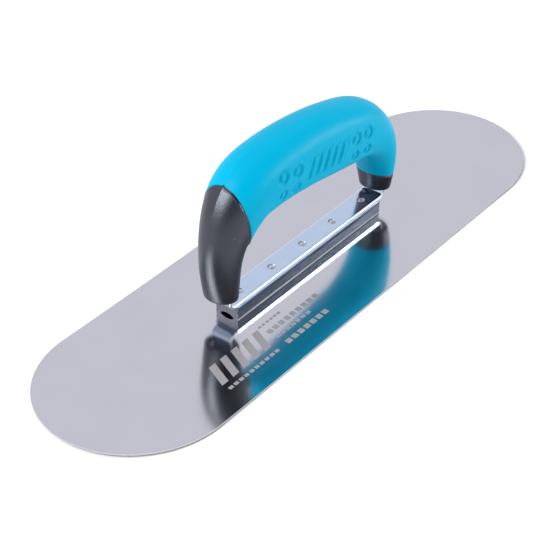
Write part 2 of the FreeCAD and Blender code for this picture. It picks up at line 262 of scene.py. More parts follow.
def mill_aluminium():
    """Mill-finish aluminium: bluish drawn stripes with painted highlights in the grooves, a pale satin foot
    line that is a painted highlight, dull sawn ends.
    """
    made, tree, shader = finish_of("mill_aluminium", Metallic=1.0)
    where = add(tree, "ShaderNodeTexCoord").outputs["Object"]
    place = add(tree, "ShaderNodeSeparateXYZ", [where])
    # Painted highlight: each groove is drawn a little brighter than the land beside it, as if its upper wall
    # caught the light.
    first = bar_low.z + FIRST_GROOVE * MM
    from_first = add(tree, "ShaderNodeMath", [place.outputs[2], first], operation="SUBTRACT")
    turns = add(tree, "ShaderNodeMath", [from_first, 2 * math.pi / (GROOVE_PITCH * MM)], operation="MULTIPLY")
    wave = add(tree, "ShaderNodeMath", [turns], operation="COSINE")
    groove_highlight = add(tree, "ShaderNodeMapRange", [wave, 0.2, 0.8, 0.0, 1.0])
    drawn = add(tree, "ShaderNodeMapping", {"Vector": where, "Scale": (0.006, 1, 1)})
    die = add(tree, "ShaderNodeTexNoise", {"Vector": drawn, "Scale": 1 / (DIE_LINE * MM), "Detail": 2.0})
    stripe = add(tree, "ShaderNodeMix", [0.7, None, die, groove_highlight])
    side = add(
        tree, "ShaderNodeMix", {0: stripe, 6: linear("#6C788E"), 7: linear("#A3B0C6")}, data_type="RGBA"
    )
    # The foot is drawn pale and satin: a painted highlight, as if its edge caught the light.
    foot_top = bar_low.z + FOOT_TOP * MM
    foot_highlight = add(tree, "ShaderNodeMapRange", [place.outputs[2], foot_top, foot_top + 0.1 * MM, 1.0, 0.0])
    edged = add(
        tree, "ShaderNodeMix", {0: foot_highlight, 6: side.outputs[2], 7: linear("#B5B2B6")}, data_type="RGBA"
    )
    # Each sawn end is scored upright by the saw.
    upright = add(tree, "ShaderNodeMapping", {"Vector": where, "Scale": (1, 1, 0.15)})
    saw = add(tree, "ShaderNodeTexNoise", {"Vector": upright, "Scale": 1 / (SAW_LINE * MM), "Detail": 3.0})
    cut = add(tree, "ShaderNodeMix", {0: saw, 6: linear("#4C4F58"), 7: linear("#80848F")}, data_type="RGBA")
    from_middle = add(tree, "ShaderNodeMath", [place.outputs[0]], operation="ABSOLUTE")
    sawn = add(tree, "ShaderNodeMath", [from_middle, bar_high.x - 0.05 * MM], operation="GREATER_THAN")
    colour = add(tree, "ShaderNodeMix", {0: sawn, 6: edged.outputs[2], 7: cut.outputs[2]}, data_type="RGBA")
    tree.links.new(colour.outputs[2], shader.inputs["Base Color"])
    dull = add(tree, "ShaderNodeMath", [foot_highlight, sawn], operation="MAXIMUM")
    rough = add(tree, "ShaderNodeMapRange", [dull, 0.0, 1.0, 0.13, 0.45])
    tree.links.new(rough.outputs[0], shader.inputs["Roughness"])
    height = add(tree, "ShaderNodeMix", [sawn, None, die, saw])
    bump = add(tree, "ShaderNodeBump", {"Strength": 0.06, "Distance": 0.05 * MM, "Height": height})
    tree.links.new(bump.outputs[0], shader.inputs["Normal"])
    return made


def bar_mesh(material):
    """The section drawn out along X between its two sawn ends."""
    hollow_top = BAR_HOLLOW[-1]
    right = BAR_HOLLOW[-2::-1] + [(bar_high.y / MM - deep, up) for deep, up in BAR_SIDE]
    loop = [hollow_top] + right + [(-y, up) for y, up in right[::-1]]
    count = len(loop)
    points = [Vector((x, y * MM, bar_low.z + up * MM)) for x in (bar_low.x, bar_high.x) for y, up in loop]
    faces = [(i, (i + 1) % count, (i + 1) % count + count, i + count) for i in range(count)]
    faces += [tuple(range(count))[::-1], tuple(range(count, 2 * count))]
    mesh = bpy.data.meshes.new("mounting_bar_section")
    mesh.from_pydata(points, [], faces)
    mesh.update()
    mesh.materials.append(material)
    return mesh


bar_low, bar_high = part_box("mounting_bar")
bar = put("mounting_bar_section", bar_mesh(mill_aluminium()))
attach(bar, "root")
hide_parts("mounting_bar")


# ---- handle bracket ----------------------------------------------------------------------
# Flat steel strap, bent up at both ends into the handle's legs and bright zinc plated.
# Its rolled edges catch the light; the plating shows faint clouds and handling scratches.
STRAP_THICKNESS = 1.5
STRAP_EDGE = 0.5                # how far the rolled edge reaches in
PLATE_CLOUD = 6.0
PLATE_SCRATCH = 0.7             # real scratches are finer, drawn this coarse to show


def bright_zinc():
    """Bright zinc plate: bluish mirror-like metal in faint clouds, its rolled edges satin and painted pale as
    a highlight.
    """
    made, tree, shader = finish_of("bright_zinc", Metallic=1.0)
    where = add(tree, "ShaderNodeTexCoord").outputs["Object"]
    clouds = add(
        tree, "ShaderNodeTexNoise", {"Vector": where, "Scale": 1 / (PLATE_CLOUD * MM), "Detail": 4.0}
    )
    plate = add(
        tree, "ShaderNodeMix", {0: clouds, 6: linear("#B9C9DC"), 7: linear("#C5D4E6")}, data_type="RGBA"
    )
    place = add(tree, "ShaderNodeSeparateXYZ", [where])
    # Painted highlight: the rolled edges are drawn near white and satin, as if they caught the light.
    off_middle = add(tree, "ShaderNodeMath", [place.outputs[1]], operation="ABSOLUTE")
    edge = add(tree, "ShaderNodeMath", [off_middle, strap_high.y - STRAP_EDGE * MM], operation="GREATER_THAN")
    colour = add(
        tree, "ShaderNodeMix", {0: edge, 6: plate.outputs[2], 7: linear("#F1F4F8")}, data_type="RGBA"
    )
    tree.links.new(colour.outputs[2], shader.inputs["Base Color"])
    flat = add(tree, "ShaderNodeMapRange", [clouds, 0.3, 0.7, 0.10, 0.15])
    rough = add(tree, "ShaderNodeMix", [edge, None, flat, 0.30])
    tree.links.new(rough.outputs[0], shader.inputs["Roughness"])
    along = add(tree, "ShaderNodeMapping", {"Vector": where, "Scale": (0.05, 1, 1)})
    scratch = add(
        tree, "ShaderNodeTexNoise", {"Vector": along, "Scale": 1 / (PLATE_SCRATCH * MM), "Detail": 2.0}
    )
    bump = add(tree, "ShaderNodeBump", {"Strength": 0.02, "Distance": 0.01 * MM, "Height": scratch})
    tree.links.new(bump.outputs[0], shader.inputs["Normal"])
    return made


strap_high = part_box("handle_bracket")[1]
dress("handle_bracket", bright_zinc())


# ---- rivets --------------------------------------------------------------------------------
# Five solid rivets, countersunk in the blade's underside and closed flush in the strap's top.
# Each closed end is a slightly domed disc with a fine ring left by the riveting set.
RIVET_RING = [                  # out from the axis, and up from the strap's top
    (0.0, 0.16), (0.55, 0.15), (0.75, 0.09), (0.95, 0.13), (1.25, 0.11), (1.45, 0.05), (1.6, -0.12),
]
RIVET_HEAD = [                  # in from the head's edge, and up from the underside
    (0.0, 0.02), (0.1, 0.0),
]
SHANK_FROM, SHANK_TO = 1.0, 0.7
RIVET_TURNS = 37
RIVET_GRAIN = 0.9               # real grain is 0.1 mm, drawn this coarse to show


def rivet_tree():
    """The turned outline spun round the upright axis and set on each point."""
    sockets = [("Outline", "NodeSocketObject"), ("Turns", "NodeSocketInt"), ("Finish", "NodeSocketMaterial")]
    tree, given, result = node_tree("rivet_row", sockets)
    outline = add(tree, "GeometryNodeObjectInfo", {"Object": given.outputs["Outline"]}).outputs["Geometry"]
    edge = add(tree, "GeometryNodeMeshToCurve", [outline])
    points = add(tree, "GeometryNodeCurveToPoints", {"Curve": edge}, mode="EVALUATED")
    index = add(tree, "GeometryNodeInputIndex")
    # The outline's distance from the axis is read back for each row of a grid wrapped round it.
    rows = add(tree, "GeometryNodeAttributeDomainSize", {"Geometry": points}, component="POINTCLOUD")
    count = rows.outputs["Point Count"]
    grid = add(tree, "GeometryNodeMeshGrid", {"Vertices X": given.outputs["Turns"], "Vertices Y": count})
    row_of = add(tree, "ShaderNodeMath", [index, count], operation="MODULO")
    turn_of = add(tree, "ShaderNodeMath", [index, count], operation="DIVIDE")
    whole = add(tree, "ShaderNodeMath", [turn_of], operation="FLOOR")
    steps = add(tree, "ShaderNodeMath", [given.outputs["Turns"], 1.0], operation="SUBTRACT")
    part = add(tree, "ShaderNodeMath", [whole, steps], operation="DIVIDE")
    angle = add(tree, "ShaderNodeMath", [part, -2 * math.pi], operation="MULTIPLY")
    position = add(tree, "GeometryNodeInputPosition")
    wanted = {"Geometry": points, "Value": position, "Index": row_of}
    sample = add(tree, "GeometryNodeSampleIndex", wanted, data_type="FLOAT_VECTOR")
    spun = add(tree, "ShaderNodeVectorRotate", {"Vector": sample, "Angle": angle}, rotation_type="Z_AXIS")
    wrapped = add(tree, "GeometryNodeSetPosition", {"Geometry": grid, "Position": spun})
    closed = add(tree, "GeometryNodeMergeByDistance", {"Geometry": wrapped, "Distance": 1e-6})
    set_on = add(tree, "GeometryNodeInstanceOnPoints", {"Points": given, "Instance": closed})
    solid = add(tree, "GeometryNodeRealizeInstances", [set_on])
    smooth = add(tree, "GeometryNodeSetShadeSmooth", [solid])
    done = add(tree, "GeometryNodeSetMaterial", {"Geometry": smooth, "Material": given.outputs["Finish"]})
    tree.links.new(done.outputs[0], result.inputs[0])
    return tree


def satin_rivet_steel():
    """Rivet steel with a dull satin skin, greyer and rougher than the plating round it."""
    made, tree, shader = finish_of("satin_rivet_steel", Metallic=1.0)
    where = add(tree, "ShaderNodeTexCoord").outputs["Object"]
    skin = add(tree, "ShaderNodeTexNoise", {"Vector": where, "Scale": 1 / (RIVET_GRAIN * MM), "Detail": 3.0})
    colour = add(
        tree, "ShaderNodeMix", {0: skin, 6: linear("#B4B2B1"), 7: linear("#DAD7D4")}, data_type="RGBA"
    )
    tree.links.new(colour.outputs[2], shader.inputs["Base Color"])
    rough = add(tree, "ShaderNodeMapRange", [skin, 0.3, 0.7, 0.28, 0.45])
    tree.links.new(rough.outputs[0], shader.inputs["Roughness"])
    bump = add(tree, "ShaderNodeBump", {"Strength": 0.2, "Distance": 0.05 * MM, "Height": skin})
    tree.links.new(bump.outputs[0], shader.inputs["Normal"])
    return made


rivet_names = sorted(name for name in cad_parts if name.startswith("rivet_"))
rivet_boxes = [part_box(name) for name in rivet_names]
strap_top = bar_high.z / MM + STRAP_THICKNESS
head = (rivet_boxes[0][1].x - rivet_boxes[0][0].x) / MM / 2
shank = RIVET_RING[-1][0]
outline = [(out, 0, strap_top + up) for out, up in RIVET_RING]
outline += [(shank, 0, SHANK_FROM), (shank, 0, SHANK_TO)]
outline += [(head - deep, 0, up) for deep, up in RIVET_HEAD] + [(0, 0, 0)]
outline_mesh = bpy.data.meshes.new("rivet_outline")
steps = [(i, i + 1) for i in range(len(outline) - 1)]
outline_mesh.from_pydata([Vector(p) * MM for p in outline], steps, [])
outline_object = put("rivet_outline", outline_mesh)
middles = [((low.x + high.x) / 2 / MM, 0, 0) for low, high in rivet_boxes]
rivets = grow("rivets", points_mesh("rivet_points", middles), rivet_tree(), {
    "Outline": outline_object, "Turns": RIVET_TURNS, "Finish": satin_rivet_steel(),
})
bpy.data.objects.remove(outline_object)
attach(rivets, "root")
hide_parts(*rivet_names)


# ---- handle core -------------------------------------------------------------------------------
# Hard glass-filled plastic, moulded in one over the tangs: the bare front leg, the collar at the
# foot of the rear leg, and the part that runs on unseen under the sleeve.
CROWN_OVER_ARCH = 16.43         # crown's height over the highest point that the rows are set from
FRONT_FOOT_HIGHER = 1.5
REACH = strap_high.x / MM - STRAP_THICKNESS / 2
REAR_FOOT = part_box("handle_core")[0].z / MM
FRONT_FOOT = REAR_FOOT + FRONT_FOOT_HIGHER
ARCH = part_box("grip_sleeve")[1].z / MM - CROWN_OVER_ARCH
FRONT_RISE = ARCH - FRONT_FOOT
# Core and sleeve share one outside: sections that change along an arched middle line. Each row
# holds the middle's X and Z, half the depth and half the width of the section.
HANDLE_ROWS = np.array([
    (-REACH, FRONT_FOOT, 7.5, 9.5),
    (-REACH - 1.0, FRONT_FOOT + FRONT_RISE / 3, 11.5, 10.0),
    (-REACH + 3.0, FRONT_FOOT + FRONT_RISE * 0.62, 14.0, 12.0),
    (-REACH + 11.5, ARCH - 7.0, 15.5, 15.0),
    (-REACH + 23.5, ARCH, 17.0, 16.0),
    (-1.5, ARCH - 2.0, 18.5, 15.5),
    (REACH - 38.0, ARCH - 8.0, 18.0, 15.5),
    (REACH - 14.0, ARCH - 12.0, 15.0, 15.5),
    (REACH + 1.5, REAR_FOOT + (ARCH - REAR_FOOT) * 0.41, 10.5, 13.5),
    (REACH + 0.5, REAR_FOOT, 7.0, 9.0),
])
CROWN_SQUARENESS = 2.15
PALM_SQUARENESS = 2.9


def row_weights(place):
    """How much each row counts at a place from 0 to 1 along the handle, as a cubic B-spline."""
    count = len(HANDLE_ROWS)
    knots = np.concatenate(([0.0] * 3, np.linspace(0, 1, count - 2), [1.0] * 3))
    place = np.clip(place, 0, 1 - 1e-9)[..., None]
    weights = ((place >= knots[:-1]) & (place < knots[1:])).astype(float)
    for degree in (1, 2, 3):
        left, right = knots[:-degree - 1], knots[degree + 1:]
        rise = np.maximum(knots[degree:-1] - left, 1e-12)
        fall = np.maximum(right - knots[1:-degree], 1e-12)
        up = (place - left) / rise * weights[..., :-1]
        down = (right - place) / fall * weights[..., 1:]
        weights = up + down
    return weights


def smooth(value):
    """0 to 1, easing in and out."""
    value = np.clip(value, 0, 1)
    return value * value * (3 - 2 * value)


def signed_power(value, power):
    """A power that keeps the sign."""
    return np.copysign(np.abs(value) ** power, value)


def handle_surface(place, angle, set_in=0.0):
    """Point of the handle's outside at a place along it and an angle round it, 0 on the crown."""
    place, angle, set_in = np.broadcast_arrays(place, angle, set_in)
    row = row_weights(place) @ HANDLE_ROWS
    after, before = np.minimum(place + 1e-4, 1), np.maximum(place - 1e-4, 0)
    ahead = (row_weights(after) - row_weights(before)) @ HANDLE_ROWS
    along = ahead[..., :2] / np.linalg.norm(ahead[..., :2], axis=-1, keepdims=True)
    arch = smooth((place - 0.05) / 0.25) * smooth((0.95 - place) / 0.2)
    squareness = np.where(np.cos(angle) >= 0, CROWN_SQUARENESS, PALM_SQUARENESS)
    power = 2 / (2 + (squareness - 2) * arch)
    up = signed_power(np.cos(angle), power) * (row[..., 2] - set_in)
    across = signed_power(np.sin(angle), power) * (row[..., 3] - set_in)
    return np.stack([row[..., 0] - along[..., 1] * up, across, row[..., 1] + along[..., 0] * up], -1)


def even_angles(count):
    """Angles that step evenly round the section in the middle of the arch."""
    fine = np.linspace(0, 2 * math.pi, 4001)
    loop = handle_surface(np.full(fine.shape, 0.5), fine)
    run = np.concatenate(([0], np.cumsum(np.linalg.norm(np.diff(loop, axis=0), axis=1))))
    return np.interp(np.linspace(0, run[-1], count + 1)[:-1], run, fine)


# The sleeve's front edge bows forwards from its tip on the inside of the leg up to the crown,
# and its rear edge leans a little over the collar.
FRONT_EDGE = np.array([          # X and Z
    (-47.0, 44.2), (-49.6, 44.4), (-52.0, 45.2), (-53.8, 46.8), (-56.4, 51.7), (-57.9, 56.6),
    (-59.2, 61.1), (-60.5, 65.6), (-61.4, 70.2), (-61.9, 74.5), (-62.0, 78.5), (-61.5, 84.0),
])
COLLAR_TOP = REAR_FOOT + 11.3
COLLAR_LEAN = 0.21
COLLAR_MIDDLE = 57.0
NOTCH = 0.005                   # share of the handle that the core runs up at the parting line
NOTCH_SPREAD = 0.9


def past_front_edge(point):
    """How far a point lies behind the sleeve's front edge, below zero on the bare core."""
    x, z = point[..., 0], point[..., 2]
    edge_x = np.interp(z, FRONT_EDGE[2:, 1], FRONT_EDGE[2:, 0])
    edge_z = np.interp(x, FRONT_EDGE[:3, 0][::-1], FRONT_EDGE[:3, 1][::-1])
    return np.minimum(x - edge_x, (z - edge_z) * 1.5)


def above_collar(point):
    """How far a point lies above the collar's leaning top."""
    return point[..., 2] - (COLLAR_TOP - COLLAR_LEAN * (point[..., 0] - COLLAR_MIDDLE))


def crossing(test, start, end, angles):
    """For each angle, the first place between start and end where the test turns positive."""
    places = np.linspace(start, end, 1200)
    values = test(handle_surface(places[:, None], angles[None, :]))
    first = np.argmax(values > 0, axis=0)
    first = np.maximum(first, 1)
    column = np.arange(len(angles))
    low, high = values[first - 1, column], values[first, column]
    return places[first - 1] + (places[first] - places[first - 1]) * (-low / (high - low))


def ring_average(values, passes):
    """Evens out a value round the ring."""
    for _ in range(passes):
        values = (np.roll(values, 1) + 2 * values + np.roll(values, -1)) / 4
    return values


ROUND = 220                     # points round the handle
ANGLES = even_angles(ROUND)
front_edge = ring_average(crossing(past_front_edge, 0.0, 0.6, ANGLES), 2)
from_seam = handle_surface(front_edge, ANGLES)[:, 1]
front_edge += NOTCH * np.exp(-(from_seam / NOTCH_SPREAD) ** 2) * (np.cos(ANGLES) > 0)
rear_edge = ring_average(crossing(above_collar, 1.0, 0.6, ANGLES), 2)


def outward(grid):
    """Outward direction at each point of a grid of rings."""
    along = np.gradient(grid, axis=0)
    round_it = np.roll(grid, -1, axis=1) - np.roll(grid, 1, axis=1)
    normal = np.cross(along, round_it)
    normal /= np.maximum(np.linalg.norm(normal, axis=-1, keepdims=True), 1e-9)
    middle = grid.mean(axis=1, keepdims=True)
    facing = np.sign((normal * (grid - middle)).sum(-1).mean())
    return normal * facing


def signed_volume(mesh):
    """Volume inside the faces, below zero if they point inwards."""
    total = 0.0
    for face in mesh.polygons:
        corners = [mesh.vertices[v].co for v in face.vertices]
        for b, c in zip(corners[1:], corners[2:]):
            total += corners[0].dot(b.cross(c))
    return total / 6


def skin_mesh(name, rings, material, capped):
    """A closed smooth mesh through a stack of rings; capped closes its two ends, else they join."""
    count, around = rings.shape[0], rings.shape[1]
    points = rings.reshape(-1, 3).tolist()
    index = np.arange(count * around).reshape(count, around)
    faces = []
    for i in range(count - 1 if capped else count):
        a, b = index[i], index[(i + 1) % count]
        faces += np.stack([a, np.roll(a, -1), np.roll(b, -1), b], 1).tolist()
    if capped:
        for ring, flip in ((index[0], True), (index[-1], False)):
            points.append(np.array(points)[ring].mean(0).tolist())
            for k in range(around):
                trio = [ring[k], ring[(k + 1) % around], len(points) - 1]
                faces.append(trio[::-1] if flip else trio)
    mesh = bpy.data.meshes.new(name)
    mesh.from_pydata([Vector(p) * MM for p in points], [], [[int(v) for v in f] for f in faces])
    mesh.polygons.foreach_set("use_smooth", [True] * len(mesh.polygons))
    mesh.update()
    if signed_volume(mesh) < 0:
        mesh.flip_normals()
    mesh.materials.append(material)
    return put(name, mesh)


LEG_RINGS, SEAT_RINGS, COLLAR_RINGS = 150, 70, 34
CORE_SKIN = 3.5                 # depth of the sleeve's seat
CORE_FOOT_EDGE = 0.8
CORE_LIP_FROM_EDGE = 1.3        # fine raised lip beside the sleeve
CORE_LIP_RISE = 0.16
CORE_LIP_SPREAD = 0.35
CORE_EDGE_DROP = 0.35           # the skin dives in just before the sleeve
COLLAR_EDGE_DROP = 0.3
CORE_SEAM_RISE = 0.05           # parting line down the front
CORE_SEAM_SPREAD = 0.03         # as an angle round the leg
CORE_TIP_STEP = 1.1             # the leg steps in under the sleeve's tip
RIDGE_RISE = 0.35               # soft crease up the middle of the front
RIDGE_SPREAD = 1.5
RIDGE_ENDS, RIDGE_FADE = -20.0, 35.0
FOOT_FACE = [                   # share of the rim, and up from it
    (0.90, 0.0), (0.84, 0.0), (0.80, 0.5), (0.72, 0.8), (0.5, 0.8), (0.25, 0.8),
]
MOULD_GRAIN = 0.7               # real spark-eroded grain is 0.1 mm, drawn this coarse to show
MOULD_PATCH = 14.0
DUST = 1.1


def ridge(rings):
    """Rise of the crease that runs up the front of the leg and fades out over the arch."""
    off_ridge = np.abs(rings[..., 1])
    on_front = np.cos(ANGLES)[None, :] > 0
    fade = smooth((RIDGE_ENDS - rings[..., 0]) / RIDGE_FADE)
    return RIDGE_RISE * np.exp(-off_ridge / RIDGE_SPREAD) * on_front * fade


def rounded(run):
    """How far a skin is drawn in near an end, to round its edge off."""
    near = np.clip(run / CORE_FOOT_EDGE, 0, 1)
    return CORE_FOOT_EDGE * (1 - np.sqrt(np.clip(1 - (1 - near) ** 2, 0, 1)))


def run_from_start(rings):
    """Length of the skin from the first ring to each ring, for each angle."""
    steps = np.linalg.norm(np.diff(rings, axis=0), axis=-1)
    return np.concatenate([np.zeros((1, ROUND)), np.cumsum(steps, axis=0)])


def between_edges(share):
    """Places that run from the sleeve's front edge to its rear edge."""
    return front_edge[None, :] + (rear_edge - front_edge)[None, :] * share[:, None]


def core_rings():
    """Rings of the core from the front foot to the rear foot."""
    share = 1 - (1 - np.linspace(0, 1, LEG_RINGS)) ** 1.25
    leg = handle_surface(front_edge[None, :] * share[:, None], ANGLES[None, :])
    normal = outward(leg)
    from_foot = run_from_start(leg)
    to_edge = from_foot[-1] - from_foot
    rise = CORE_LIP_RISE * np.exp(-((to_edge - CORE_LIP_FROM_EDGE) / CORE_LIP_SPREAD) ** 2)
    rise -= CORE_EDGE_DROP * smooth((0.9 - to_edge) / 0.6)
    off_seam = np.minimum(ANGLES, 2 * math.pi - ANGLES) / CORE_SEAM_SPREAD
    seam = CORE_SEAM_RISE * np.exp(-off_seam ** 2)[None, :]
    rise += seam * smooth(from_foot / 3) * smooth((to_edge - 1) / 2)
    palm = smooth((-np.cos(ANGLES) - 0.2) / 0.6)[None, :]
    rise -= CORE_TIP_STEP * palm * smooth((to_edge - 1.8) / 2.2) * smooth((26 - to_edge) / 20)
    rise += ridge(leg) * smooth((from_foot - 28) / 30)
    leg = leg + normal * (rise - rounded(from_foot))[..., None]
    seat = handle_surface(between_edges(np.linspace(0, 1, SEAT_RINGS)), ANGLES[None, :], CORE_SKIN)
    share = np.linspace(0, 1, COLLAR_RINGS) ** 1.2
    places = rear_edge[None, :] + (1 - rear_edge)[None, :] * share[:, None]
    collar = handle_surface(places, ANGLES[None, :])
    normal = outward(collar)
    from_edge = run_from_start(collar)
    drop = rounded(from_edge[-1] - from_edge) + COLLAR_EDGE_DROP * smooth((0.7 - from_edge) / 0.5)
    collar = collar - normal * drop[..., None]
    return np.concatenate([foot_face(leg[0])[::-1], leg, seat, collar, foot_face(collar[-1])])


def foot_face(rim):
    """The leg's end face: a flat rim, then a shallow recess round the tang."""
    middle = rim.mean(0)
    return np.array([middle + (rim - middle) * share + (0, 0, up) for share, up in FOOT_FACE])


def glass_filled_nylon():
    """Black glass-filled nylon: a clear bluish sheen over a fine spark-eroded grain, some dust."""
    made, tree, shader = finish_of(
        "glass_filled_nylon", IOR=1.53, Specular_IOR_Level=0.8, Specular_Tint=(0.80, 0.86, 1.0, 1.0)
    )
    where = add(tree, "ShaderNodeTexCoord").outputs["Object"]
    patches = add(
        tree, "ShaderNodeTexNoise", {"Vector": where, "Scale": 1 / (MOULD_PATCH * MM), "Detail": 3.0}
    )
    body = add(
        tree, "ShaderNodeMix", {0: patches, 6: linear("#07090F"), 7: linear("#0C0E16")}, data_type="RGBA"
    )
    dust = add(tree, "ShaderNodeTexNoise", {"Vector": where, "Scale": 1 / (DUST * MM), "Detail": 1.0})
    speck = add(tree, "ShaderNodeMapRange", [dust, 0.79, 0.80, 0.0, 1.0])
    colour = add(
        tree, "ShaderNodeMix", {0: speck, 6: body.outputs[2], 7: linear("#9A9CA2")}, data_type="RGBA"
    )
    tree.links.new(colour.outputs[2], shader.inputs["Base Color"])
    fine = add(tree, "ShaderNodeTexNoise", {"Vector": where, "Scale": 1 / (MOULD_GRAIN * MM), "Detail": 3.0})
    rough = add(tree, "ShaderNodeMapRange", [fine, 0.3, 0.7, 0.30, 0.39])
    tree.links.new(rough.outputs[0], shader.inputs["Roughness"])
    bump = add(tree, "ShaderNodeBump", {"Strength": 0.7, "Distance": 0.12 * MM, "Height": fine})
    tree.links.new(bump.outputs[0], shader.inputs["Normal"])
    return made


core = skin_mesh("handle_core_skin", core_rings(), glass_filled_nylon(), True)
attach(core, "root")
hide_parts("handle_core")


# ---- grip sleeve ---------------------------------------------------------------------------------
# Soft thermoplastic rubber, moulded over the arch and the rear leg in one piece.
# Each side has four sunk thumb dots at either end and a plain row of slanted bars between them.
SLEEVE_EDGE = 0.5
DOTS = [                        # X, Z, outer diameter
    (-35.6, 75.2, 8.6), (-24.5, 73.6, 8.6), (-35.6, 65.4, 6.8), (-24.9, 64.2, 6.8),
    (24.5, 68.0, 8.6), (34.9, 66.9, 8.6), (24.1, 58.7, 6.8), (34.6, 57.3, 6.8),
]
DOT_DEPTH = 0.8
DOT_SQUASH = 1.15               # width over height, seen from the side
BARS = [(-11.5, 69.6), (-5.3, 69.0), (0.9, 68.2), (7.1, 67.3), (13.3, 66.4)]
BAR_HALF = (1.9, 5.4)           # half the width and half the height of a slanted bar
BAR_RISE = 0.65
BAR_SHOULDER = 0.7              # width of a bar's sloped edge
BAR_MOAT = 0.45                 # fine groove round each bar, this far out
BAR_MOAT_HALF = 0.6
BAR_SLANT = 0.42
OUTSIDE_RINGS, INSIDE_RINGS = 300, 60
SLEEVE_WALL = CORE_SKIN + 0.05  # the sleeve beds a little into the core
RUBBER_GRAIN = 0.6              # real grain is 0.1 mm, drawn this coarse to show
RUBBER_PATCH = 22.0


def sleeve_rings():
    """Rings of the sleeve: over its outside from front to rear, then back along its inside."""
    outside = handle_surface(between_edges(np.linspace(0, 1, OUTSIDE_RINGS)), ANGLES[None, :])
    normal = outward(outside)
    run = run_from_start(outside)
    near = np.clip(np.minimum(run, run[-1] - run) / SLEEVE_EDGE, 0, 1)
    rise = ridge(outside) - SLEEVE_EDGE * (1 - np.sqrt(np.clip(1 - (1 - near) ** 2, 0, 1)))
    outside = outside + normal * rise[..., None]
    inside = handle_surface(between_edges(np.linspace(1, 0, INSIDE_RINGS)), ANGLES[None, :], SLEEVE_WALL)
    return np.concatenate([outside, inside])


